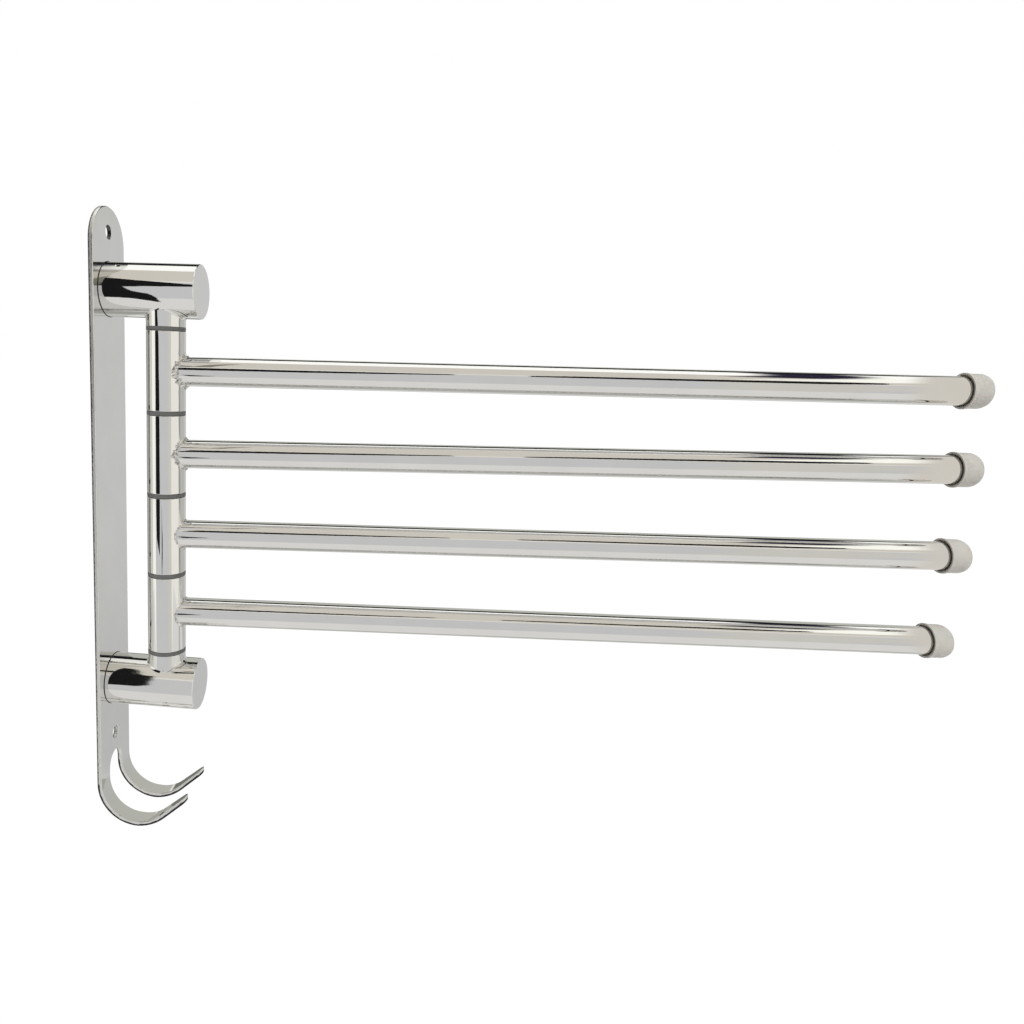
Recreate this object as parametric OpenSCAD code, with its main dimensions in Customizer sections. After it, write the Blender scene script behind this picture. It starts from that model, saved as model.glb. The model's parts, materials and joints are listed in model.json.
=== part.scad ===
// Swing arm towel bar: a back plate whose lower end is bent into a double hook,
// two round posts, and a column of four sleeves that turn on one spindle.
// Each sleeve carries a tube arm with a plastic end cap.
// +X points out of the wall, +Y along the wall and +Z up.
// The origin lies on the wall, midway between the two wall screw holes.

/* [Plate] */
// Width of the back plate
plate_w = 30; // [26:1:40]
// Thickness of the back plate and its hooks
plate_t = 2; // [1.5:0.1:3]
// Diameter of each wall screw hole
screw_hole_d = 5.5; // [4:0.1:6.5]
// Upper wall screw hole to the top of the plate
top_margin = 10; // [8:0.5:14]
// Height of the upper wall screw hole above the upper post's axis
upper_hole_rise = 22.8; // [18:0.1:40]
// Depth of the lower wall screw hole below the lower post's axis
lower_hole_drop = 26; // [18:0.1:40]

/* [Hooks] */
// Lower wall screw hole down to the centre of the bend
bend_drop = 17; // [14:0.5:30]
// Inner radius of the bend
bend_r = 16; // [12:0.5:20]
// Angle by which the hooks curl up past their lowest point
hook_curl = 40; // [25:1:55]
// Straight length from the bend to the tips
hook_tail = 13.5; // [8:0.5:20]
// Lower wall screw hole down to the top of the slot
slot_drop = 8.4; // [6:0.1:10]
// Width of the slot at its round top
slot_w = 12; // [8:0.5:14]
// Width of the slot at the lowest point of the bend
slot_low_w = 14.4; // [9:0.2:18]
// Gap between the two tips
tip_gap = 18.2; // [12:0.2:20]
// Width of one prong at its tip
tip_w = 4.6; // [3:0.2:6]

/* [Posts] */
// Diameter of each post
post_d = 22; // [18:1:28]
// Wall to the outer end of each post
post_reach = 41; // [38:0.5:60]
// Chamfer round the outer end of each post
post_chamfer = 0.3; // [0.1:0.1:1]

/* [Column] */
// Wall to the axis on which the arms swing
column_x = 26; // [22:0.5:28]
// Outer diameter of the sleeves and collars
sleeve_d = 16; // [14:0.5:18]
// Wall of the sleeves and collars
sleeve_wall = 1.2; // [0.8:0.1:1.6]
// Height from one arm to the next
arm_pitch = 34.5; // [25:0.5:60]
// Post axis to the spacer at the end of the column
collar_h = 14.4; // [13:0.1:30]
// Thickness of the flange that shows on each spacer
flange_t = 1.6; // [0.8:0.1:3]
// Length of each spacer's spigot inside a sleeve
spigot_len = 6; // [3:0.5:10]
// Diameter of the spindle
spindle_d = 8; // [5:0.5:9]

/* [Arms] */
// Diameter of each arm
arm_d = 12; // [8:0.5:13]
// Wall of each arm
arm_wall = 1; // [0.6:0.1:2]
// Swing axis to the tip of each cap
arm_reach = 336; // [150:0.5:500]
// Angle at rest of each arm from straight out, upper arm first
arm_swings = [4.3, 4.1, 3.9, 4.3]; // [-80:0.1:80]
// Rise of each arm towards its tip, upper arm first
arm_rises = [0.7, 1.1, 0.8, 0.2]; // [0:0.1:1.5]

/* [Caps] */
// Length of each cap from its mouth to its tip
cap_len = 10; // [9:0.1:20]
// Length of the arm that the cap covers
cap_cover = 5; // [3:0.5:5.5]
// Length of the flared mouth, which stands clear of the arm
cap_flare = 1.6; // [1:0.1:2.9]
// Wall of the flared mouth
cap_wall = 0.8; // [0.4:0.1:1.5]
// Gap between the flared mouth and the arm
cap_gap = 0.6; // [0.3:0.1:1.5]
// Height by which the flared mouth stands out past the rest of the cap
cap_step = 0.3; // [0.1:0.05:0.4]
// Radius of the round edge at the tip
cap_round = 4.2; // [1:0.1:4.5]
// Radius of the crown across the tip
cap_crown_r = 14; // [12:0.5:40]
// Length of the plug inside the arm
plug_len = 7; // [3:0.5:15]

/* [Post screws] */
// Diameter of the screw that holds each post to the plate
post_screw_d = 4; // [3:0.1:5]
// Diameter of its countersunk head
post_screw_head_d = 7.4; // [6:0.1:8.5]
// Length of the screw with its head
post_screw_len = 14; // [8:0.5:16]
// Width across the corners of its socket
socket_w = 2.8; // [1.5:0.1:3]
// Depth of its socket
socket_depth = 1.2; // [0.5:0.1:1.5]

/* [Hidden] */
// Radial clearance of a turning or sliding fit
fit_gap = 0.05;
// Clearance between a sleeve's end and a spacer's flange
end_gap = 0.05;
// Clearance past the end of the spindle and of a screw
blind_gap = 0.5;
// Length by which a cut runs past the solid that it cuts
overrun = 1;
// Length of the spindle past a post's axis
spindle_past = 5;
// Depth by which the tail's faces lie inside the bend's, so that they cross
tail_sink = 0.005;
$fn = 96;

// Number of arms on the column
arm_count = len(arm_rises);

// Heights, worked up and down from the middle of the wall screw holes
stack_h = arm_count * arm_pitch + flange_t;
post_spacing = stack_h + 2 * collar_h;
screw_spacing = post_spacing + upper_hole_rise + lower_hole_drop;
upper_hole_z = screw_spacing / 2;
lower_hole_z = -screw_spacing / 2;
upper_post_z = upper_hole_z - upper_hole_rise;
lower_post_z = lower_hole_z + lower_hole_drop;
column_z = (upper_post_z + lower_post_z) / 2;
plate_top_z = upper_hole_z + top_margin;
bend_z = lower_hole_z - bend_drop;
slot_z = lower_hole_z - slot_drop;

// Height of an arm's axis, and of a spacer's middle, counted from the top
function arm_z(i) = column_z + arm_pitch * ((arm_count - 1) / 2 - i);
function spacer_z(i) = column_z + arm_pitch * (arm_count / 2 - i);

// Hooks
bend_outer_r = bend_r + plate_t;
bend_x = bend_outer_r;
hook_low_z = bend_z - bend_outer_r;
tip_x = bend_x + (bend_r + plate_t / 2) * sin(hook_curl) + hook_tail * cos(hook_curl);
tip_mid_y = (tip_gap + tip_w) / 2;

// Column
post_len = post_reach - plate_t;
sleeve_len = arm_pitch - flange_t - 2 * end_gap;
sleeve_bore = sleeve_d - 2 * sleeve_wall;
spigot_d = sleeve_bore - 2 * fit_gap;
post_spigot_len = collar_h - post_d / 2 - blind_gap;
spindle_hole_d = spindle_d + 2 * fit_gap;

// Arms and caps, measured along an arm from the swing axis
cap_start = arm_reach - cap_len;
arm_end = cap_start + cap_cover;
arm_bore = arm_d - 2 * arm_wall;
flare_bore_r = arm_d / 2 + cap_gap;
flare_r = flare_bore_r + cap_wall;
skirt_bore_r = arm_d / 2 + fit_gap;
cap_r = flare_r - cap_step;
plug_r = arm_bore / 2 - fit_gap;

// Screws
screw_head_h = (post_screw_head_d - post_screw_d) / 2;

steel = [0.79, 0.79, 0.78];
spacer_grey = [0.36, 0.36, 0.35];
cap_grey = [0.71, 0.70, 0.66];

// Turns a shape drawn in plan, with its own X and Y, so that they become Y and Z
module upright() {
    rotate([90, 0, 90]) children();
}

// A straight tube that stands on the XY plane
module tube(outer_d, wall, h) {
    difference() {
        cylinder(d = outer_d, h = h);
        translate([0, 0, -overrun])
            cylinder(d = outer_d - 2 * wall, h = h + 2 * overrun);
    }
}

// Side view of the plate and its hooks, X to the right and Z up: a disc with the
// tail's outer side, less a smaller disc with its inner side. The tail runs on
// past the tips, whose round ends cut it to length.
module hook_profile() {
    full_tail = hook_tail + plate_t;
    clear_w = bend_outer_r + full_tail + overrun;
    translate([0, bend_z]) square([plate_t, plate_top_z - bend_z]);
    translate([bend_x, bend_z])
        difference() {
            disc_and_tail(bend_outer_r, full_tail, 0);
            disc_and_tail(bend_r, full_tail + overrun, clear_w);
            translate([-clear_w, 0]) square(clear_w);
        }
}

// A disc, and a straight piece that leaves it at the angle of the curl
module disc_and_tail(r, length, over) {
    circle(r = r);
    rotate(hook_curl)
        translate([0, tail_sink - r]) square([length, r - tail_sink + over]);
}

// Front view of the plate down to the lowest point of the bend, with its slot
module front_outline() {
    half_w = plate_w / 2;
    round_z = plate_top_z - half_w;
    slot_round_z = slot_z - slot_w / 2;
    bottom_z = hook_low_z - overrun;
    difference() {
        union() {
            translate([-half_w, bottom_z]) square([plate_w, round_z - bottom_z]);
            translate([0, round_z]) circle(r = half_w);
        }
        translate([0, slot_round_z]) circle(d = slot_w);
        polygon([
            [-slot_w / 2, slot_round_z],
            [slot_w / 2, slot_round_z],
            [slot_low_w / 2, hook_low_z + plate_t],
            [slot_low_w / 2, bottom_z - overrun],
            [-slot_low_w / 2, bottom_z - overrun],
            [-slot_low_w / 2, hook_low_z + plate_t]
        ]);
    }
}

// Top view of one prong, from the middle of the bend to its round tip
module prong_outline() {
    tip_round_x = tip_x - tip_w / 2;
    polygon([
        [bend_x, slot_low_w / 2],
        [bend_x, plate_w / 2],
        [tip_round_x, tip_mid_y + tip_w / 2],
        [tip_round_x, tip_mid_y - tip_w / 2]
    ]);
    translate([tip_round_x, tip_mid_y]) circle(d = tip_w);
}

module prong_prism() {
    translate([0, 0, hook_low_z - overrun])
        linear_extrude(bend_z - hook_low_z + overrun) prong_outline();
}

// Hole for a post's screw, countersunk from the wall side
module post_screw_hole() {
    rotate([0, 90, 0]) {
        translate([0, 0, -overrun])
            cylinder(d = post_screw_d + 2 * fit_gap, h = plate_t + 2 * overrun);
        cylinder(d1 = post_screw_head_d + 2 * fit_gap, d2 = post_screw_d + 2 * fit_gap,
            h = screw_head_h);
    }
}

module back_plate() {
    color(steel)
    difference() {
        intersection() {
            translate([0, plate_w / 2, 0])
                rotate([90, 0, 0]) linear_extrude(plate_w) hook_profile();
            union() {
                upright() linear_extrude(bend_x) front_outline();
                prong_prism();
                mirror([0, 1, 0]) prong_prism();
            }
        }
        for (z = [upper_hole_z, lower_hole_z])
            translate([-overrun, 0, z])
                rotate([0, 90, 0]) cylinder(d = screw_hole_d, h = plate_t + 2 * overrun);
        for (z = [upper_post_z, lower_post_z])
            translate([0, 0, z]) post_screw_hole();
    }
}

// A post at height z; side is -1 when its bore opens downwards and 1 upwards
module post(z, side) {
    color(steel)
    difference() {
        translate([plate_t, 0, z]) rotate([0, 90, 0]) {
            cylinder(d = post_d, h = post_len - post_chamfer);
            translate([0, 0, post_len - post_chamfer])
                cylinder(d1 = post_d, d2 = post_d - 2 * post_chamfer, h = post_chamfer);
        }
        translate([0, 0, z]) {
            translate([plate_t - overrun, 0, 0]) rotate([0, 90, 0])
                cylinder(d = post_screw_d + 2 * fit_gap,
                    h = post_screw_len + blind_gap - plate_t + overrun);
            translate([column_x, 0, 0]) rotate([side > 0 ? 0 : 180, 0, 0])
                translate([0, 0, -spindle_past - blind_gap])
                    cylinder(d = spindle_hole_d, h = spindle_past + blind_gap + post_d);
        }
    }
}

// A countersunk socket screw whose head lies flush with the back of the plate
module post_screw(z) {
    color(steel)
    translate([0, 0, z]) rotate([0, 90, 0])
    difference() {
        union() {
            cylinder(d1 = post_screw_head_d, d2 = post_screw_d, h = screw_head_h);
            cylinder(d = post_screw_d, h = post_screw_len);
        }
        translate([0, 0, -overrun])
            cylinder(d = socket_w, h = socket_depth + overrun, $fn = 6);
    }
}

// A short tube between a post and the column, its end shaped to the round post
module collar(z, side) {
    color(steel)
    difference() {
        translate([column_x, 0, z]) rotate([side > 0 ? 0 : 180, 0, 0])
            tube(sleeve_d, sleeve_wall, collar_h);
        translate([plate_t, 0, z]) rotate([0, 90, 0])
            cylinder(d = post_d, h = post_len + overrun);
    }
}

module spindle() {
    bottom_z = lower_post_z - spindle_past;
    color(steel)
    translate([column_x, 0, bottom_z])
        cylinder(d = spindle_d, h = post_spacing + 2 * spindle_past);
}

// A plastic spacer: a flange that shows, and a spigot into the tube on each side,
// which is shorter where that tube is a collar
module spacer(i) {
    up_len = i == 0 ? post_spigot_len : spigot_len;
    down_len = i == arm_count ? post_spigot_len : spigot_len;
    full_len = up_len + flange_t + down_len;
    color(spacer_grey)
    translate([column_x, 0, spacer_z(i) - flange_t / 2 - down_len])
    difference() {
        union() {
            translate([0, 0, down_len]) cylinder(d = sleeve_d, h = flange_t);
            cylinder(d = spigot_d, h = full_len);
        }
        translate([0, 0, -overrun])
            cylinder(d = spindle_hole_d, h = full_len + 2 * overrun);
    }
}

module sleeve(i) {
    color(steel)
    translate([column_x, 0, arm_z(i) - sleeve_len / 2])
        tube(sleeve_d, sleeve_wall, sleeve_len);
}

// Puts a shape that stands along Z on the axis of arm i, from the swing axis out
module along_arm(i) {
    translate([column_x, 0, arm_z(i)])
        rotate([0, -arm_rises[i], arm_swings[i]])
            rotate([0, 90, 0]) children();
}

// A tube arm whose inner end is cut to fit round its sleeve
module arm(i) {
    color(steel)
    difference() {
        along_arm(i) tube(arm_d, arm_wall, arm_end);
        translate([column_x, 0, arm_z(i)])
            cylinder(d = sleeve_d, h = sleeve_len, center = true);
    }
}

// Half section of a cap: radius to the right, and length from the mouth up
module cap_section() {
    corner_r = cap_r - cap_round;
    bead_r = cap_flare / 2;
    difference() {
        union() {
            intersection() {
                square([cap_r, cap_len]);
                translate([0, cap_len - cap_crown_r]) circle(r = cap_crown_r);
                union() {
                    square([cap_r, cap_len - cap_round]);
                    square([corner_r, cap_len]);
                    translate([corner_r, cap_len - cap_round]) circle(r = cap_round);
                }
            }
            square([flare_r, bead_r]);
            translate([flare_r - bead_r, bead_r]) circle(r = bead_r);
        }
        translate([0, -overrun]) square([flare_bore_r, cap_flare + overrun]);
        translate([0, -overrun]) square([skirt_bore_r, cap_cover + overrun]);
    }
}

module cap(i) {
    color(cap_grey)
    along_arm(i) {
        translate([0, 0, cap_start]) rotate_extrude() cap_section();
        translate([0, 0, arm_end - plug_len]) cylinder(r = plug_r, h = plug_len);
    }
}

back_plate();
post(upper_post_z, -1);  // upper_post
post(lower_post_z, 1);  // lower_post
post_screw(upper_post_z);  // upper_post_screw
post_screw(lower_post_z);  // lower_post_screw
collar(upper_post_z, -1);  // upper_collar
collar(lower_post_z, 1);  // lower_collar
spindle();
spacer(0);  // spacer_1
spacer(1);  // spacer_2
spacer(2);  // spacer_3
spacer(3);  // spacer_4
spacer(4);  // spacer_5
sleeve(0);  // sleeve_1
sleeve(1);  // sleeve_2
sleeve(2);  // sleeve_3
sleeve(3);  // sleeve_4
arm(0);  // arm_1
arm(1);  // arm_2
arm(2);  // arm_3
arm(3);  // arm_4
cap(0);  // cap_1
cap(1);  // cap_2
cap(2);  // cap_3
cap(3);  // cap_4
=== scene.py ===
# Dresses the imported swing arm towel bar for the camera.
# Every length is in metres, in the frame of the CAD part:
# +X out of the wall, +Y along the wall, +Z up, origin between the wall screw holes.
import json
import math

import bmesh
import bpy
from mathutils import Matrix, Vector, noise

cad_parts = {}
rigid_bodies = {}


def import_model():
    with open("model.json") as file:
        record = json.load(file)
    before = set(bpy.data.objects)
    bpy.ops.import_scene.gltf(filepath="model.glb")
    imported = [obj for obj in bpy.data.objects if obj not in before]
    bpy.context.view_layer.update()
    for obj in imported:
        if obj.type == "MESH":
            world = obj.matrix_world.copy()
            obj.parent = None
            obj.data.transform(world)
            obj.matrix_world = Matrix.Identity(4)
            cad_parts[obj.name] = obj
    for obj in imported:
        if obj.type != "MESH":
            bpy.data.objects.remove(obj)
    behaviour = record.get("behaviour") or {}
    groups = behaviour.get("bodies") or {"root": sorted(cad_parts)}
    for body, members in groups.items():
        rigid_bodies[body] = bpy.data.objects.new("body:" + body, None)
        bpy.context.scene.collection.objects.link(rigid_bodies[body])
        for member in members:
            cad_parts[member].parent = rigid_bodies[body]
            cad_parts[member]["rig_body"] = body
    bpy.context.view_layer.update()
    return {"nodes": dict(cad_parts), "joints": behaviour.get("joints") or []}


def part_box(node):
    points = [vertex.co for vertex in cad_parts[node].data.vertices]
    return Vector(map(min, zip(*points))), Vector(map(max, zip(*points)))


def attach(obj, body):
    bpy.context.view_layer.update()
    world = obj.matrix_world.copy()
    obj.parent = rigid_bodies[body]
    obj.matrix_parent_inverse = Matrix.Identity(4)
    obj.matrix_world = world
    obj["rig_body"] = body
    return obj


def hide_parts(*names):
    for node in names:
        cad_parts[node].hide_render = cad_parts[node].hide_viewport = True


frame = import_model()

# Camera, solved from the outlines in the photograph, with its turns in radians
IMAGE_SIZE = 1024
FOCAL_PIXELS = 758.22
AXIS_PIXEL = (365.6, 478.08)
CAMERA_PLACE = (0.1394, -0.30862, 0.06015)
PITCH, YAW, ROLL = 0.1525, 0.0913, 0.0511
SENSOR_WIDTH = 36.0
CLIP_NEAR = 0.01
CLIP_FAR = 100

# Floor, and the white that the camera sees of it
FLOOR_HEIGHT = -0.36
FLOOR_SIZE = 60.0
FLOOR_GLOW = 1.08
FLOOR_GLOW_SHARE = 0.8

# Lamps: name, azimuth, elevation and spread in degrees, and strength
SUNS = (
    ("key", 25, 50, 40, 1.5),
    ("fill", -50, 30, 60, 0.9),
)

# Bent sheet of the wall plate: the middle of the hook's bend is as far from the wall
# as its outer radius, and the curl is how steeply the hook's tail rises
plate_low, plate_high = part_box("back_plate")
SHEET = 0.002
HOOK_MIDDLE = 0.018
HOOK_TOP = plate_low.z + HOOK_MIDDLE
HOOK_CURL = math.radians(40)
CURL_SIDE, CURL_RISE = math.sin(HOOK_CURL), math.cos(HOOK_CURL)
# The upper screw hole, whose wall is painted dark as shade
HOLE_INSET = 0.010
UPPER_HOLE = plate_high.z - HOLE_INSET
HOLE_AREA = 0.004

# Arms: radius, the gap round them in the caps, and the rise of each to its tip in degrees
ARM_RADIUS = 0.006
CAP_GAP = 0.0006
ARM_RISES = (0.7, 1.1, 0.8, 0.2)

# Rounding of the edges
PLATE_EDGE = 0.00035
POST_EDGE = 0.0001
TUBE_EDGE = 0.00035
SPACER_EDGE = 0.00018
CAP_EDGE = 0.00014
SCREW_EDGE = 0.00012
EDGE_STEPS = 3
SHARP_ANGLE = math.radians(30)
FLAT_ANGLE = math.radians(0.3)
MERGE_DISTANCE = 2e-7

# Limits on a face's unit normal: what counts as facing a direction, and what the
# hook's cut edges have along Y and along Z
FACING = 0.5
CUT_LEAST_SIDEWAYS = 0.2
CUT_MOST_UPRIGHT = 0.3
# A place this close to an axis has no side
ON_AXIS = 0.0001

# Welds: how many arms from the top have rough ones, and the width, fullness and
# lumpiness of each kind, with the scales of the lumps and ripples
ROUGH_WELDS = 2
ROUGH_WELD = (0.0013, 0.0005, 0.9)
FINE_WELD = (0.0009, 0.0001, 0.35)
COLLAR_FILLET = (0.0009, 0.0, 0.0)
WELD_POINTS = 240
WELD_STEPS = 10
WELD_SINK = 0.00004
WELD_ROOT = 0.0004
LUMP_SCALE = 900
SLOW_LUMPS, FAST_LUMPS, FAST_LUMP_SHARE = 0.8, 2.1, 0.5
RIPPLE_SCALE, RIPPLE_SHARE = 2600, 0.5
SEED_STEP = 10.0

# Painted shade: a dark line in the corner between post and plate
JOINT_LEG = 0.00028
JOINT_HOLLOW_SHARE = 0.35
JOINT_POINTS = 160


# Colours

def srgb(red, green, blue):
    """A colour written as eight-bit values, in the linear values that shaders use."""
    out = []
    for value in (red, green, blue):
        part = value / 255.0
        out.append(part / 12.92 if part <= 0.04045 else ((part + 0.055) / 1.055) ** 2.4)
    return (*out, 1.0)


def grey(value):
    """A linear grey."""
    return (value, value, value, 1.0)


def shaded(colour, share):
    """A colour brought down to a share of itself."""
    return tuple(value * share for value in colour[:3]) + (1,)


WHITE = grey(1.0)
BLACK = grey(0.012)
OLIVE = (0.27, 0.26, 0.21, 1.0)
PALE = (0.665, 0.665, 0.675, 1.0)
BEIGE = (0.76, 0.72, 0.66, 1)
STUDIO_GREY = grey(0.68)
MATT_LIGHT = grey(0.5)
FLOOR_GREY = grey(0.8)


# Camera

def make_camera():
    data = bpy.data.cameras.new("camera")
    data.sensor_width = SENSOR_WIDTH
    data.sensor_fit = "HORIZONTAL"
    data.lens = SENSOR_WIDTH * FOCAL_PIXELS / IMAGE_SIZE
    data.shift_x = (IMAGE_SIZE / 2 - AXIS_PIXEL[0]) / IMAGE_SIZE
    data.shift_y = (AXIS_PIXEL[1] - IMAGE_SIZE / 2) / IMAGE_SIZE
    data.clip_start = CLIP_NEAR
    data.clip_end = CLIP_FAR
    # Its rows are right, down and ahead for a level camera that looks along +Y
    level = Matrix(((1, 0, 0), (0, 0, -1), (0, 1, 0)))
    turn = Matrix.Rotation(ROLL, 3, "Z") @ Matrix.Rotation(YAW, 3, "Y") @ Matrix.Rotation(PITCH, 3, "X")
    turned = turn @ level
    right, down, forward = turned.row[0], turned.row[1], turned.row[2]
    axes = Matrix((right, -down, -forward)).transposed()
    camera = bpy.data.objects.new("camera", data)
    camera.matrix_world = Matrix.Translation(CAMERA_PLACE) @ axes.to_4x4()
    bpy.context.scene.collection.objects.link(camera)
    bpy.context.scene.camera = camera


# Node trees

class Nodes:
    """Short names for building one node tree."""

    def __init__(self, tree):
        self.tree = tree
        tree.nodes.clear()

    def new(self, kind, **settings):
        node = self.tree.nodes.new(kind)
        for name, value in settings.items():
            setattr(node, name, value)
        return node

    def link(self, source, target):
        self.tree.links.new(source, target)

    def put(self, value, socket):
        """Sets a socket to a number or colour, or links an output to it."""
        if isinstance(value, bpy.types.NodeSocket):
            self.link(value, socket)
        else:
            socket.default_value = value

    def math(self, operation, first, second=0.0):
        node = self.new("ShaderNodeMath", operation=operation)
        self.put(first, node.inputs[0])
        self.put(second, node.inputs[1])
        return node.outputs[0]

    def add(self, first, second):
        return self.math("ADD", first, second)

    def minus(self, first, second):
        return self.math("SUBTRACT", first, second)

    def times(self, first, second):
        return self.math("MULTIPLY", first, second)

    def over(self, first, second):
        return self.math("DIVIDE", first, second)

    def without(self, mask):
        """The opposite of a mask."""
        return self.minus(1.0, mask)

    def all_of(self, *masks):
        out = masks[0]
        for mask in masks[1:]:
            out = self.times(out, mask)
        return out

    def step(self, value, low, high):
        """0 below low, 1 above high, and smooth between them."""
        node = self.new("ShaderNodeMapRange", interpolation_type="SMOOTHSTEP")
        self.put(value, node.inputs["Value"])
        node.inputs["From Min"].default_value = low
        node.inputs["From Max"].default_value = high
        return node.outputs["Result"]

    def range(self, value, low, high, to_low=0.0, to_high=1.0):
        """A value between low and high, moved to lie between to_low and to_high."""
        node = self.new("ShaderNodeMapRange")
        self.put(value, node.inputs["Value"])
        node.inputs["From Min"].default_value = low
        node.inputs["From Max"].default_value = high
        node.inputs["To Min"].default_value = to_low
        node.inputs["To Max"].default_value = to_high
        return node.outputs["Result"]

    def mix(self, factor, first, second):
        node = self.new("ShaderNodeMix", data_type="RGBA")
        self.put(factor, node.inputs["Factor"])
        self.put(first, node.inputs["A"])
        self.put(second, node.inputs["B"])
        return node.outputs["Result"]

    def noise(self, vector, scale, detail=4.0, roughness=0.6):
        node = self.new("ShaderNodeTexNoise")
        self.put(vector, node.inputs["Vector"])
        node.inputs["Scale"].default_value = scale
        node.inputs["Detail"].default_value = detail
        node.inputs["Roughness"].default_value = roughness
        return node.outputs["Fac"]

    def stretched(self, vector, scale):
        node = self.new("ShaderNodeMapping")
        node.inputs["Scale"].default_value = scale
        self.link(vector, node.inputs["Vector"])
        return node.outputs[0]


# World

# Each card hangs on one wall of a room round the object. Its edges are shares of
# the distance to that wall: along X, or along Y on the side walls, and then
# along Z, or along Y on the ceiling and the table.
ROOM_WALLS = {
    "front": ("Y", -1, "X", "Z"),
    "back": ("Y", 1, "X", "Z"),
    "left": ("X", -1, "Y", "Z"),
    "right": ("X", 1, "Y", "Z"),
    "ceiling": ("Z", 1, "X", "Y"),
    "table": ("Z", -1, "X", "Y"),
}
# wall, edges along the first axis, edges along the second axis, soft edge, colour
STUDIO_CARDS = (
    ("left", -1.5, 2.5, -1.6, 1.2, 0.2, (1.12, 1.11, 1.06, 1)),
    ("left", 0.08, 0.55, -0.8, 0.35, 0.08, (0.10, 0.10, 0.09, 1)),
    ("right", -1.6, 0.3, -0.9, 0.6, 0.12, (0.98, 0.96, 0.90, 1)),
    ("right", 0.3, 3.0, -1.2, 1.2, 0.12, (0.69, 0.685, 0.66, 1)),
    ("right", 0.14, 0.62, -0.9, 0.3, 0.12, (0.36, 0.35, 0.33, 1)),
    ("right", 0.3, 0.75, -0.9, -0.22, 0.1, (0.10, 0.10, 0.09, 1)),
    ("back", 0.0, 3.0, -0.35, 0.9, 0.2, (0.665, 0.665, 0.665, 1)),
    ("back", 0.0, 3.0, -2.0, -0.35, 0.25, (0.59, 0.59, 0.595, 1)),
    ("back", 0.55, 3.0, -0.9, 0.3, 0.1, (0.57, 0.57, 0.55, 1)),
    ("back", -1.3, -0.12, -0.5, 0.12, 0.12, (0.20, 0.20, 0.18, 1)),
    ("back", -1.3, 0.9, 0.2, 2.5, 0.1, (0.56, 0.565, 0.52, 1)),
    ("table", -3.0, 3.0, -1.6, 0.30, 0.15, (0.82, 0.815, 0.795, 1)),
    ("table", -3.0, 3.0, 0.30, 0.80, 0.12, (0.52, 0.52, 0.50, 1)),
    ("table", -3.0, 3.0, 0.80, 1.6, 0.15, (0.80, 0.80, 0.78, 1)),
    ("front", -1.1, 1.1, -0.68, 0.60, 0.05, PALE),
    ("front", 0.55, 0.80, -0.68, 0.60, 0.06, (0.70, 0.69, 0.64, 1)),
    ("ceiling", -1.6, 1.6, -1.7, -0.06, 0.08, (0.74, 0.70, 0.63, 1)),
    ("ceiling", -1.6, 1.6, -1.7, -1.35, 0.08, (0.88, 0.86, 0.81, 1)),
    ("ceiling", -1.6, 1.6, -0.06, 0.64, 0.06, (1.25, 1.25, 1.22, 1)),
    ("ceiling", 0.47, 0.61, -0.30, 1.10, 0.05, (0.03, 0.025, 0.05, 1)),
    ("ceiling", 0.63, 0.90, -0.80, 0.05, 0.05, (1.2, 1.2, 1.12, 1)),
)
# A card counts only in front of its own wall, and fades in over this share
WALL_FADE = 0.01
LEAST_DEPTH = 1e-4
# Ring of beige: azimuth, elevation, inner and outer angle, soft edge, in degrees
BEIGE_RING = (94.2, 0.7, 48.5, 55.4, 1.6)
# It fades out behind the object, between these values of the direction's Y
BEIGE_FADE = (0.55, 0.65)


def direction(azimuth, elevation):
    """Unit vector; azimuth counts from -Y towards +X, both in degrees."""
    a, e = math.radians(azimuth), math.radians(elevation)
    return Vector((math.sin(a) * math.cos(e), -math.cos(a) * math.cos(e), math.sin(e)))


def studio_card(n, ray, wall, low_a, high_a, low_b, high_b, edge):
    """Mask of a card on one wall of the room."""
    axis, way, along_a, along_b = ROOM_WALLS[wall]
    towards = n.times(ray[axis], way)
    depth = n.math("MAXIMUM", towards, LEAST_DEPTH)
    masks = [n.step(towards, 0.0, WALL_FADE)]
    for part, low, high in ((along_a, low_a, high_a), (along_b, low_b, high_b)):
        place = n.over(ray[part], depth)
        masks.append(n.step(place, low - edge / 2, low + edge / 2))
        masks.append(n.without(n.step(place, high - edge / 2, high + edge / 2)))
    return n.all_of(*masks)


def ring_card(n, ray, azimuth, elevation, inner, outer, edge):
    """Mask of a ring about one direction; its edges are angles from it."""
    node = n.new("ShaderNodeVectorMath", operation="DOT_PRODUCT")
    n.put(ray, node.inputs[0])
    node.inputs[1].default_value = direction(azimuth, elevation)
    turn = n.math("ARCCOSINE", node.outputs["Value"])
    low = n.step(turn, math.radians(inner - edge / 2), math.radians(inner + edge / 2))
    high = n.step(turn, math.radians(outer - edge / 2), math.radians(outer + edge / 2))
    return n.minus(low, high)


def make_world():
    """White to the camera, plain to matt surfaces, and for metal the pale walls,
    warm ceiling and dark frames of a product studio."""
    world = bpy.data.worlds.new("studio")
    bpy.context.scene.world = world
    world.use_nodes = True
    n = Nodes(world.node_tree)
    split = n.new("ShaderNodeSeparateXYZ")
    ray = n.new("ShaderNodeTexCoord").outputs["Generated"]
    n.link(ray, split.inputs[0])
    colour = STUDIO_GREY
    for *card, tint in STUDIO_CARDS:
        colour = n.mix(studio_card(n, split.outputs, *card), colour, tint)
    ahead = n.without(n.step(split.outputs["Y"], *BEIGE_FADE))
    colour = n.mix(n.times(ring_card(n, ray, *BEIGE_RING), ahead), colour, BEIGE)
    path = n.new("ShaderNodeLightPath")
    plain = n.mix(path.outputs["Is Glossy Ray"], MATT_LIGHT, colour)
    seen = n.mix(path.outputs["Is Camera Ray"], plain, WHITE)
    background = n.new("ShaderNodeBackground")
    n.link(seen, background.inputs["Color"])
    output = n.new("ShaderNodeOutputWorld")
    n.link(background.outputs[0], output.inputs["Surface"])


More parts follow.
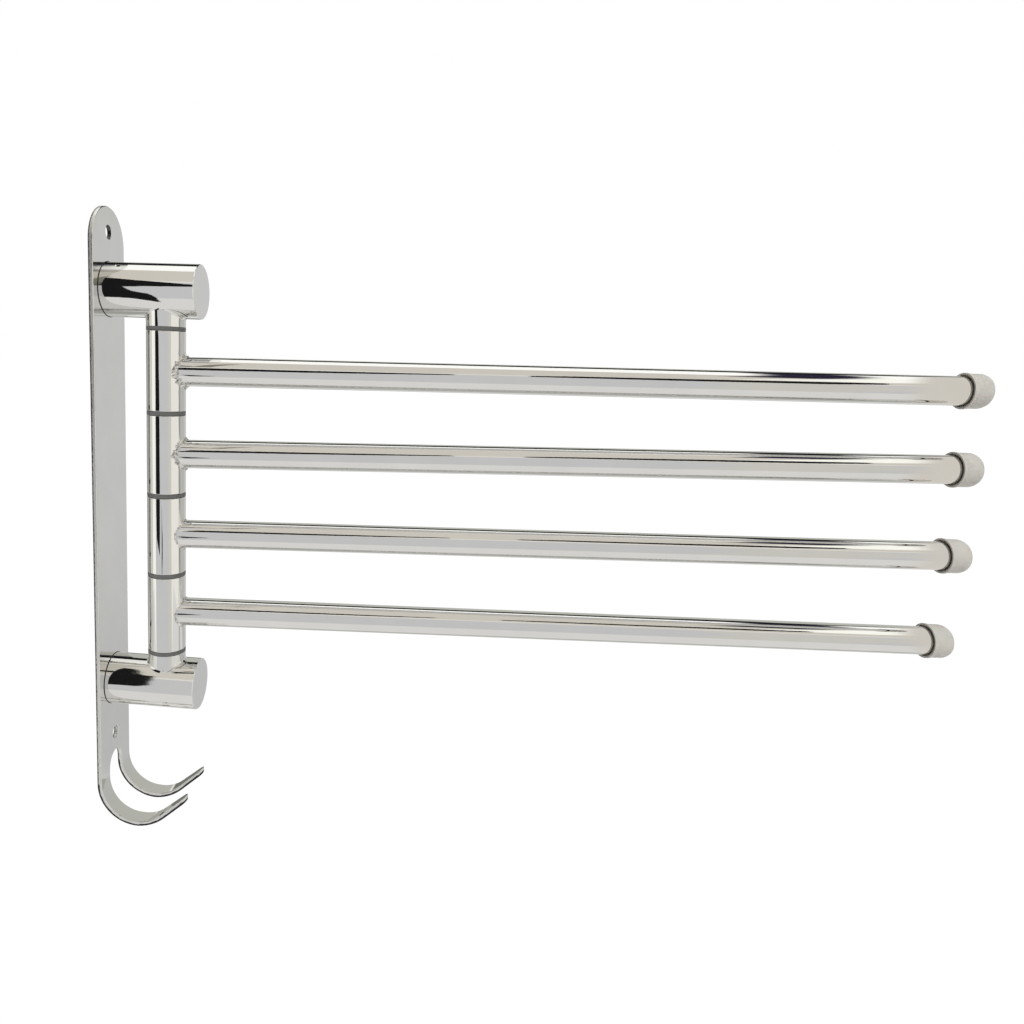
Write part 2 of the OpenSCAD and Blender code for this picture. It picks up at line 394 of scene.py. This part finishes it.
# Lamps and floor

def make_sun(name, azimuth, elevation, spread, strength):
    """A broad distant lamp, which metal doesn't mirror."""
    data = bpy.data.lights.new(name, "SUN")
    data.energy = strength
    data.angle = math.radians(spread)
    lamp = bpy.data.objects.new(name, data)
    lamp.rotation_euler = direction(azimuth, elevation).to_track_quat("Z", "Y").to_euler()
    lamp.visible_glossy = False
    lamp.visible_camera = False
    bpy.context.scene.collection.objects.link(lamp)


def floor_white():
    """A matt grey that keeps the object's shadow, mostly white to the camera."""
    material = bpy.data.materials.new("floor")
    material.use_nodes = True
    n = Nodes(material.node_tree)
    shade = n.new("ShaderNodeBsdfDiffuse")
    shade.inputs["Color"].default_value = FLOOR_GREY
    white = n.new("ShaderNodeEmission")
    white.inputs["Color"].default_value = WHITE
    white.inputs["Strength"].default_value = FLOOR_GLOW
    path = n.new("ShaderNodeLightPath")
    both = n.new("ShaderNodeMixShader")
    n.link(n.times(path.outputs["Is Camera Ray"], FLOOR_GLOW_SHARE), both.inputs[0])
    n.link(shade.outputs[0], both.inputs[1])
    n.link(white.outputs[0], both.inputs[2])
    output = n.new("ShaderNodeOutputMaterial")
    n.link(both.outputs[0], output.inputs["Surface"])
    return material


def make_floor():
    mesh = bpy.data.meshes.new("floor")
    half = FLOOR_SIZE / 2
    corners = [(-half, -half, FLOOR_HEIGHT), (half, -half, FLOOR_HEIGHT),
               (half, half, FLOOR_HEIGHT), (-half, half, FLOOR_HEIGHT)]
    mesh.from_pydata(corners, [], [(0, 1, 2, 3)])
    mesh.materials.append(floor_white())
    floor = bpy.data.objects.new("floor", mesh)
    floor.visible_glossy = False
    bpy.context.scene.collection.objects.link(floor)


# Near cards

# Flat cards that stand near the object and show only in its metal. The black ones
# are the dark things of the studio, and the pale and olive ones stand before parts
# of them. Each lies at one Y, and its outline is given as X and Z.
NEAR_CARDS = (
    ("stand", BLACK, -0.350, (
        (-0.113, -0.134), (-0.102, -0.096), (-0.099, -0.067), (-0.102, -0.010), (-0.108, 0.070),
        (-0.121, 0.150), (-0.137, 0.230), (-0.144, 0.223), (-0.160, 0.263), (-0.224, 0.481),
        (-0.328, 0.765), (-0.500, 0.800), (-0.340, 0.300), (-0.310, -0.100), (-0.250, -0.150),
        (-0.190, -0.168), (-0.165, -0.170), (-0.140, -0.140))),
    ("tongue", BLACK, -0.060, (
        (-0.016, 0.045), (-0.011, 0.043), (-0.008, 0.037), (-0.005, 0.026), (-0.004, 0.018),
        (-0.003, 0.016), (0.001, 0.035), (0.0035, 0.049), (0.0035, 0.062), (0.002, 0.069),
        (-0.001, 0.072), (-0.005, 0.072), (-0.012, 0.064))),
    ("screen", PALE, -0.060, (
        (-0.009, 0.0945), (-0.007, 0.087), (-0.0045, 0.078), (-0.001, 0.073), (0.0023, 0.069),
        (0.0036, 0.062), (0.0036, 0.048), (0.020, 0.048), (0.020, 0.097), (0.000, 0.0955))),
    ("slip", PALE, -0.016, (
        (0.0180, -0.0190), (0.0232, -0.0268), (0.0232, -0.0620), (0.0180, -0.0620))),
    ("streak", BLACK, -0.060, (
        (-0.026, 0.138), (-0.018, 0.135), (-0.011, 0.129), (0.006, 0.1195), (0.024, 0.1095),
        (0.024, 0.1008), (0.000, 0.0975), (-0.008, 0.095), (-0.020, 0.088), (-0.024, 0.110))),
    ("panel", OLIVE, -0.060, (
        (0.0245, 0.098), (0.034, 0.098), (0.034, 0.200), (0.0245, 0.200))),
    ("shelf", BLACK, 0.300, (
        (-0.500, 0.270), (0.600, 0.270), (0.600, 0.530), (-0.500, 0.530))),
    ("left_rail", BLACK, -0.230, (
        (-0.020, 0.105), (0.073, 0.118), (0.130, 0.138), (0.186, 0.170), (0.186, 0.203),
        (0.130, 0.197), (0.069, 0.190), (-0.020, 0.187))),
    ("right_rail", BLACK, -0.205, (
        (0.236, 0.165), (0.346, 0.165), (0.460, 0.181), (0.521, 0.228), (0.556, 0.312),
        (0.501, 0.299), (0.363, 0.252), (0.280, 0.235), (0.239, 0.204))),
    ("low_rail", BLACK, -0.230, (
        (-0.012, -0.045), (0.008, -0.070), (0.008, -0.082), (-0.012, -0.105))),
)


def flat_colour(name, colour):
    """A material of one even colour, which no lamp changes."""
    material = bpy.data.materials.new(name)
    material.use_nodes = True
    n = Nodes(material.node_tree)
    even = n.new("ShaderNodeEmission")
    even.inputs["Color"].default_value = colour
    output = n.new("ShaderNodeOutputMaterial")
    n.link(even.outputs[0], output.inputs["Surface"])
    return material


def make_near_card(name, colour, y, outline):
    mesh = bpy.data.meshes.new(name)
    mesh.from_pydata([(x, y, z) for x, z in outline], [], [tuple(range(len(outline)))])
    mesh.materials.append(flat_colour(name, colour))
    thing = bpy.data.objects.new(name, mesh)
    thing.visible_camera = False
    thing.visible_diffuse = False
    thing.visible_transmission = False
    thing.visible_shadow = False
    bpy.context.scene.collection.objects.link(thing)


# Materials

def principled(name, **sockets):
    """A material, its node tree, its shader with some sockets set, and the place on the piece."""
    material = bpy.data.materials.new(name)
    material.use_nodes = True
    n = Nodes(material.node_tree)
    shader = n.new("ShaderNodeBsdfPrincipled")
    for socket, value in sockets.items():
        shader.inputs[socket.replace("_", " ")].default_value = value
    output = n.new("ShaderNodeOutputMaterial")
    n.link(shader.outputs[0], output.inputs["Surface"])
    place = n.new("ShaderNodeTexCoord").outputs["Object"]
    return material, n, shader, place


def add_bump(n, shader, height, distance=0.00004, strength=0.6):
    bump = n.new("ShaderNodeBump")
    bump.inputs["Strength"].default_value = strength
    bump.inputs["Distance"].default_value = distance
    n.put(height, bump.inputs["Height"])
    n.link(bump.outputs[0], shader.inputs["Normal"])


def polished_steel(name, colour, smooth, dull, grain_scale, wave):
    """Mirror-polished steel with faint smudges, slow waves and a fine grain."""
    material, n, shader, place = principled(name, Metallic=1.0)
    smudge = n.noise(place, 60.0)
    grain = n.noise(n.stretched(place, grain_scale), 5200.0, detail=3.0)
    fine = n.times(grain, 0.02)
    slow = n.times(n.noise(place, 70.0, detail=2.0, roughness=0.5), wave)
    n.link(n.mix(n.range(smudge, 0.3, 0.7), colour, shaded(colour, 0.96)), shader.inputs["Base Color"])
    n.link(n.add(n.range(smudge, 0.35, 0.7, smooth, dull), fine), shader.inputs["Roughness"])
    add_bump(n, shader, n.add(slow, fine), distance=0.0001, strength=1.0)
    return material


def sheet_depth(n, place):
    """How deep a place lies in the bent sheet, 0 on its back and 1 on its face, and
    a mask of the straight part above the hook."""
    split = n.new("ShaderNodeSeparateXYZ")
    n.link(place, split.inputs[0])
    x, z = split.outputs["X"], split.outputs["Z"]
    across, up = n.minus(x, HOOK_MIDDLE), n.minus(z, HOOK_TOP)
    around = n.math("SQRT", n.add(n.times(across, across), n.times(up, up)))
    flat = n.minus(n.times(across, CURL_SIDE), n.times(up, CURL_RISE))
    beyond = n.add(n.times(across, CURL_RISE), n.times(up, CURL_SIDE))
    on_tail = n.math("GREATER_THAN", beyond, 0.0)
    away = n.add(around, n.times(on_tail, n.minus(flat, around)))
    bent = n.over(n.minus(HOOK_MIDDLE, away), SHEET)
    straight = n.math("GREATER_THAN", up, 0.0)
    plain = n.over(x, SHEET)
    return n.add(bent, n.times(straight, n.minus(plain, bent))), straight


def sheared_edge(name, colour):
    """The cut edge of the sheet: a burnished band next to its face, a dull torn band behind that
    which is painted near black as shade where the sheet is bent, and a ragged black corner of painted shade
    at its back."""
    material, n, shader, place = principled(name, Metallic=1.0)
    painted_shade_black = shaded(colour, 0.06)
    score = n.noise(n.stretched(place, (0.15, 0.15, 1.0)), 1500.0, roughness=0.7)
    blotch = n.noise(place, 420.0, roughness=0.65)
    depth, straight = sheet_depth(n, place)
    shade = n.times(n.range(score, 0.35, 0.65), n.range(blotch, 0.35, 0.62, 0.1, 0.8))
    burnished = n.mix(shade, colour, shaded(colour, 0.72))
    rim = n.add(depth, n.range(blotch, 0.3, 0.7, -0.12, 0.12))
    torn = n.without(n.step(n.add(rim, n.times(straight, 0.15)), 0.45, 0.6))
    # Painted shade: the torn band is near black on the bent hook, and a dull grey on the straight part
    dull = n.mix(straight, painted_shade_black, shaded(colour, 0.6))
    # Painted shade: a ragged black line along the back corner of the edge
    ragged = n.add(depth, n.range(score, 0.35, 0.65, -0.14, 0.14))
    corner = n.times(n.without(n.step(ragged, 0.22, 0.38)), 0.85)
    n.link(n.mix(corner, n.mix(torn, burnished, dull), painted_shade_black), shader.inputs["Base Color"])
    rough = n.add(n.range(blotch, 0.3, 0.7, 0.2, 0.3), n.times(straight, 0.25))
    n.link(rough, shader.inputs["Roughness"])
    add_bump(n, shader, n.add(score, blotch))
    return material


def weld_steel(name, colour):
    """Polished weld metal with fine ripples."""
    material, n, shader, place = principled(name, Metallic=1.0)
    ripple = n.noise(place, 900.0, detail=3.0, roughness=0.55)
    n.link(n.mix(n.range(ripple, 0.45, 0.62), colour, shaded(colour, 0.45)), shader.inputs["Base Color"])
    n.link(n.range(ripple, 0.3, 0.7, 0.03, 0.12), shader.inputs["Roughness"])
    add_bump(n, shader, ripple, distance=0.0002, strength=0.9)
    return material


def plain_steel(name, colour):
    """Unpolished steel with a fine uneven grain."""
    material, n, shader, place = principled(name, Metallic=1.0)
    grain = n.noise(place, 1600.0)
    n.link(n.mix(n.range(grain, 0.35, 0.65), colour, shaded(colour, 0.7)), shader.inputs["Base Color"])
    n.link(n.range(grain, 0.3, 0.7, 0.22, 0.4), shader.inputs["Roughness"])
    add_bump(n, shader, grain)
    return material


def moulded_plastic(name, colour, rough, fine, glow=0.0):
    """Plastic with an uneven tone and a fine moulded grain; glow lets light into it."""
    material, n, shader, place = principled(name, IOR=1.5, Subsurface_Weight=glow, Subsurface_Scale=0.002)
    tone = n.noise(place, 220.0, detail=3.0)
    n.link(n.mix(n.range(tone, 0.3, 0.7), shaded(colour, 0.9), colour), shader.inputs["Base Color"])
    n.link(n.range(tone, 0.3, 0.7, rough - 0.05, rough + 0.05), shader.inputs["Roughness"])
    add_bump(n, shader, n.noise(place, fine))
    return material


# Rounded copies of the CAD nodes

def middle(node):
    low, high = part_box(node)
    return (low + high) / 2


def half_size(node):
    low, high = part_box(node)
    return (high - low) / 2


def steady_normals(mesh, flat_faces):
    """Gives each point the normal of the faces round it that aren't rounding, so that
    only the rounded edges turn from one face to the next."""
    totals = [Vector() for _ in mesh.vertices]
    rest = [Vector() for _ in mesh.vertices]
    for face in mesh.polygons:
        share = face.normal * face.area
        kept = totals if flat_faces[face.index] else rest
        for corner in face.vertices:
            kept[corner] += share
    normals = [(total if total.length > 0 else other).normalized() for total, other in zip(totals, rest)]
    mesh.shade_smooth()
    mesh.normals_split_custom_set_from_vertices(normals)


def softened(node, radius, materials, choose=None):
    """A copy of a CAD node with its sharp edges rounded, which stands for the node.
    Where choose is given, it picks each face's material by number."""
    source = frame["nodes"][node]
    mesh = bpy.data.meshes.new(node + "_rounded")
    bm = bmesh.new()
    bm.from_mesh(source.data)
    bmesh.ops.remove_doubles(bm, verts=bm.verts, dist=MERGE_DISTANCE)
    bmesh.ops.dissolve_limit(bm, angle_limit=FLAT_ANGLE, verts=bm.verts, edges=bm.edges)
    sharp = [edge for edge in bm.edges if edge.is_manifold and edge.calc_face_angle() > SHARP_ANGLE]
    made = bmesh.ops.bevel(bm, geom=sharp, offset=radius, segments=EDGE_STEPS, profile=0.5,
                           affect="EDGES", clamp_overlap=False)
    rounded = set(made["faces"])
    bm.faces.index_update()
    flat_faces = [face not in rounded for face in bm.faces]
    for face in bm.faces:
        face.material_index = choose(face, face in rounded) if choose else 0
    # No rounding error leaves the node's box
    low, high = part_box(node)
    for vertex in bm.verts:
        vertex.co = [min(max(value, least), most) for value, least, most in zip(vertex.co, low, high)]
    bm.to_mesh(mesh)
    bm.free()
    steady_normals(mesh, flat_faces)
    for material in materials:
        mesh.materials.append(material)
    piece = bpy.data.objects.new(node + "_finished", mesh)
    bpy.context.scene.collection.objects.link(piece)
    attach(piece, source["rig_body"])
    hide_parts(node)


def plate_surface(face, rounded):
    """0 for the plate's polished faces, 1 for the cut edge of the sheet and 2 for the wall of the upper
    screw hole, which is painted dark as shade. Rounding is polished on the side of the sheet's face only,
    and takes the cut edge's painted black shade on its back side."""
    place, normal = face.calc_center_median(), face.normal
    across, up = place.x - HOOK_MIDDLE, place.z - HOOK_TOP
    if up > 0:
        depth = place.x / SHEET
        cut = abs(normal.x) < FACING
    else:
        on_tail = across * CURL_RISE + up * CURL_SIDE > 0
        away = across * CURL_SIDE - up * CURL_RISE if on_tail else math.hypot(across, up)
        depth = (HOOK_MIDDLE - away) / SHEET
        before_middle = place.x < HOOK_MIDDLE
        cut = abs(normal.y) > CUT_LEAST_SIDEWAYS if before_middle else abs(normal.z) < CUT_MOST_UPRIGHT
    # Painted shade: the wall of the upper screw hole is dark
    if cut and abs(place.y) < HOLE_AREA and abs(place.z - UPPER_HOLE) < HOLE_AREA:
        return 2
    return int(depth < 0.5) if rounded else int(cut)


def cap_surface(arm):
    """Tells the inside of a cap's mouth, 1, which gets a darker plastic as painted shade, from the rest of
    the cap, 0.
    """
    def choose(face, rounded):
        place = face.calc_center_median()
        away = place - arm.point
        around = (away - away.dot(arm.axis) * arm.axis).length
        inward = around > ON_AXIS and face.normal.dot(arm.out(place)) < -FACING
        floor = around < ARM_RADIUS + CAP_GAP and face.normal.dot(arm.axis) < -FACING
        return int(not rounded and (inward or floor))
    return choose


# Welds, fillets and lines of painted shade in joints

class Tube:
    """A round tube or bar: a point on its axis, its direction and its outer radius."""

    def __init__(self, point, axis, radius):
        self.point = Vector(point)
        self.axis = Vector(axis).normalized()
        self.radius = radius

    def out(self, place):
        """Unit normal of the surface nearest to a place."""
        away = place - self.point
        return (away - away.dot(self.axis) * self.axis).normalized()

    def onto(self, place, depth=0.0):
        """The place moved onto the surface, or a little under it."""
        along = (place - self.point).dot(self.axis)
        return self.point + along * self.axis + (self.radius - depth) * self.out(place)


def seam_points(branch, main, count):
    """Points of the closed line on which a branch tube meets a main tube."""
    side = branch.axis.orthogonal().normalized()
    other = branch.axis.cross(side)
    slope = branch.axis - branch.axis.dot(main.axis) * main.axis
    points = []
    for k in range(count):
        turn = 2 * math.pi * k / count
        start = branch.point + branch.radius * (math.cos(turn) * side + math.sin(turn) * other)
        offset = start - main.point
        offset -= offset.dot(main.axis) * main.axis
        a, b, c = slope.dot(slope), 2 * offset.dot(slope), offset.dot(offset) - main.radius ** 2
        points.append(start + (math.sqrt(b * b - 4 * a * c) - b) / (2 * a) * branch.axis)
    return points


def ring_piece(name, bm, rings, material):
    """A smooth closed piece through rings of points, the last one joined to the first."""
    size = len(rings[0])
    for ring, following in zip(rings, rings[1:] + rings[:1]):
        for step in range(size):
            after = (step + 1) % size
            bm.faces.new((ring[step], following[step], following[after], ring[after]))
    bmesh.ops.recalc_face_normals(bm, faces=bm.faces)
    mesh = bpy.data.meshes.new(name)
    bm.to_mesh(mesh)
    bm.free()
    mesh.shade_smooth()
    mesh.materials.append(material)
    piece = bpy.data.objects.new(name, mesh)
    bpy.context.scene.collection.objects.link(piece)
    return piece


def make_weld(name, body, branch, main, material, width, crown, lumps, seed):
    """The weld round the foot of a branch tube. Its section runs from the main
    tube to the branch: hollow where crown is 0, full where it is more."""
    points = seam_points(branch, main, WELD_POINTS)
    shift = Vector((seed, 0, 0))
    bm = bmesh.new()
    rings = []
    for k, point in enumerate(points):
        forward = (points[(k + 1) % WELD_POINTS] - points[k - 1]).normalized()
        branch_out, main_out = branch.out(point), main.out(point)
        between = (branch_out + main_out).normalized()
        on_branch, on_main = forward.cross(branch_out), forward.cross(main_out)
        if on_branch.dot(branch.axis) < 0:
            on_branch = -on_branch
        if on_main.dot(branch_out) < 0:
            on_main = -on_main
        place = point * LUMP_SCALE + shift
        swell = 1 + lumps * noise.noise(place * SLOW_LUMPS)
        swell += FAST_LUMP_SHARE * lumps * noise.noise(place * FAST_LUMPS)
        start = main.onto(point + on_main * width * swell, WELD_SINK)
        end = branch.onto(point + on_branch * width * swell, WELD_SINK)
        peak = point + between * crown * swell
        ring = []
        for step in range(WELD_STEPS + 1):
            t = step / WELD_STEPS
            bend = start * (1 - t) ** 2 + peak * 2 * t * (1 - t) + end * t ** 2
            rough = lumps * math.sin(math.pi * t) * noise.noise(bend * RIPPLE_SCALE + shift)
            ring.append(bm.verts.new(bend + between * rough * RIPPLE_SHARE * width))
        ring.append(bm.verts.new(point - between * WELD_ROOT))
        rings.append(ring)
    piece = ring_piece(name, bm, rings, material)
    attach(piece, body)


def make_joint_shade_line(name, post, material):
    """A dark line of painted shade in the corner where a post meets the plate."""
    hollow = JOINT_LEG * JOINT_HOLLOW_SHARE
    section = ((0, JOINT_LEG), (hollow, hollow), (JOINT_LEG, 0),
               (JOINT_LEG, -WELD_SINK), (-WELD_SINK, -WELD_SINK), (-WELD_SINK, JOINT_LEG))
    base = Vector((SHEET, 0, post.point.z))
    bm = bmesh.new()
    rings = []
    for k in range(JOINT_POINTS):
        turn = 2 * math.pi * k / JOINT_POINTS
        out = Vector((0, math.cos(turn), math.sin(turn)))
        rings.append([bm.verts.new(base + Vector((x, 0, 0)) + out * (post.radius + r)) for x, r in section])
    piece = ring_piece(name, bm, rings, material)
    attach(piece, "bracket")


# Studio

make_camera()
make_world()
make_floor()
for card in NEAR_CARDS:
    make_near_card(*card)
for sun in SUNS:
    make_sun(*sun)

# Finishes

# The grain is stretched along the arms and posts, or along the column and plate
ALONG_X = (0.02, 1.0, 1.0)
ALONG_Z = (1.0, 1.0, 0.02)
tube_steel = polished_steel("tube_steel", (0.80, 0.795, 0.78, 1), 0.012, 0.035, ALONG_X, 0.08)
column_steel = polished_steel("column_steel", (0.80, 0.795, 0.78, 1), 0.015, 0.04, ALONG_Z, 0.08)
plate_steel = polished_steel("plate_steel", (0.78, 0.775, 0.755, 1), 0.05, 0.09, ALONG_Z, 0.05)
# The cut edge holds painted shade: black on the bent hook and along its back corner
cut_steel_with_shade = sheared_edge("cut_steel_with_shade", (0.84, 0.835, 0.81, 1))
seam_steel = weld_steel("seam_steel", (0.80, 0.79, 0.76, 1))
inner_steel = plain_steel("inner_steel", (0.62, 0.61, 0.59, 1))
# Painted shade for the wall of the upper screw hole
hole_wall_shade = plain_steel("hole_wall_shade", (0.13, 0.13, 0.125, 1))
# Painted shade for the dark line where each post meets the plate
joint_shade_black = plain_steel("joint_shade_black", (0.05, 0.05, 0.045, 1))
spacer_plastic = moulded_plastic("spacer_plastic", srgb(96, 96, 94), 0.45, 1800.0)
cap_plastic = moulded_plastic("cap_plastic", srgb(190, 187, 179), 0.3, 1500.0, glow=0.1)
# Painted shade: a darker plastic inside the caps' mouths
mouth_shade_plastic = moulded_plastic("mouth_shade_plastic", srgb(150, 146, 137), 0.5, 1500.0)


# Pieces

def give(node, material):
    """Gives a CAD node that keeps its own shape its finish."""
    materials = frame["nodes"][node].data.materials
    materials.clear()
    materials.append(material)


softened("back_plate", PLATE_EDGE, (plate_steel, cut_steel_with_shade, hole_wall_shade), plate_surface)
for end in ("upper", "lower"):
    softened(end + "_post", POST_EDGE, (tube_steel,))
    softened(end + "_post_screw", SCREW_EDGE, (inner_steel,))
for node in frame["nodes"]:
    if node.startswith("sleeve"):
        softened(node, TUBE_EDGE, (column_steel,))
    elif node.startswith("spacer"):
        softened(node, SPACER_EDGE, (spacer_plastic,))
    elif node.startswith("arm"):
        give(node, tube_steel)
    elif node.endswith("collar"):
        give(node, column_steel)
give("spindle", inner_steel)
for number, (joint, rise) in enumerate(zip(frame["joints"], ARM_RISES), 1):
    swing, lift = math.radians(90 - joint["range_deg"][1]), math.radians(rise)
    along = (math.cos(swing) * math.cos(lift), math.sin(swing) * math.cos(lift), math.sin(lift))
    sleeve = Tube(joint["pos_m"], (0, 0, 1), half_size(f"sleeve_{number}").y)
    arm = Tube(joint["pos_m"], along, ARM_RADIUS)
    softened(f"cap_{number}", CAP_EDGE, (cap_plastic, mouth_shade_plastic), cap_surface(arm))
    bead = ROUGH_WELD if number <= ROUGH_WELDS else FINE_WELD
    seed = SEED_STEP * number
    make_weld(f"arm_weld_{number}", f"swing_arm_{number}", arm, sleeve, seam_steel, *bead, seed)
for end, way in (("upper", -1), ("lower", 1)):
    post = Tube(middle(end + "_post"), (1, 0, 0), half_size(end + "_post").z)
    foot = Vector((middle(end + "_collar").x, 0, post.point.z))
    collar = Tube(foot, (0, 0, way), half_size(end + "_collar").y)
    make_weld(end + "_collar_weld", "bracket", collar, post, column_steel, *COLLAR_FILLET, seed=0.0)
    make_joint_shade_line(end + "_post_joint_shade", post, joint_shade_black)

bpy.context.scene.view_settings.view_transform = "Standard"
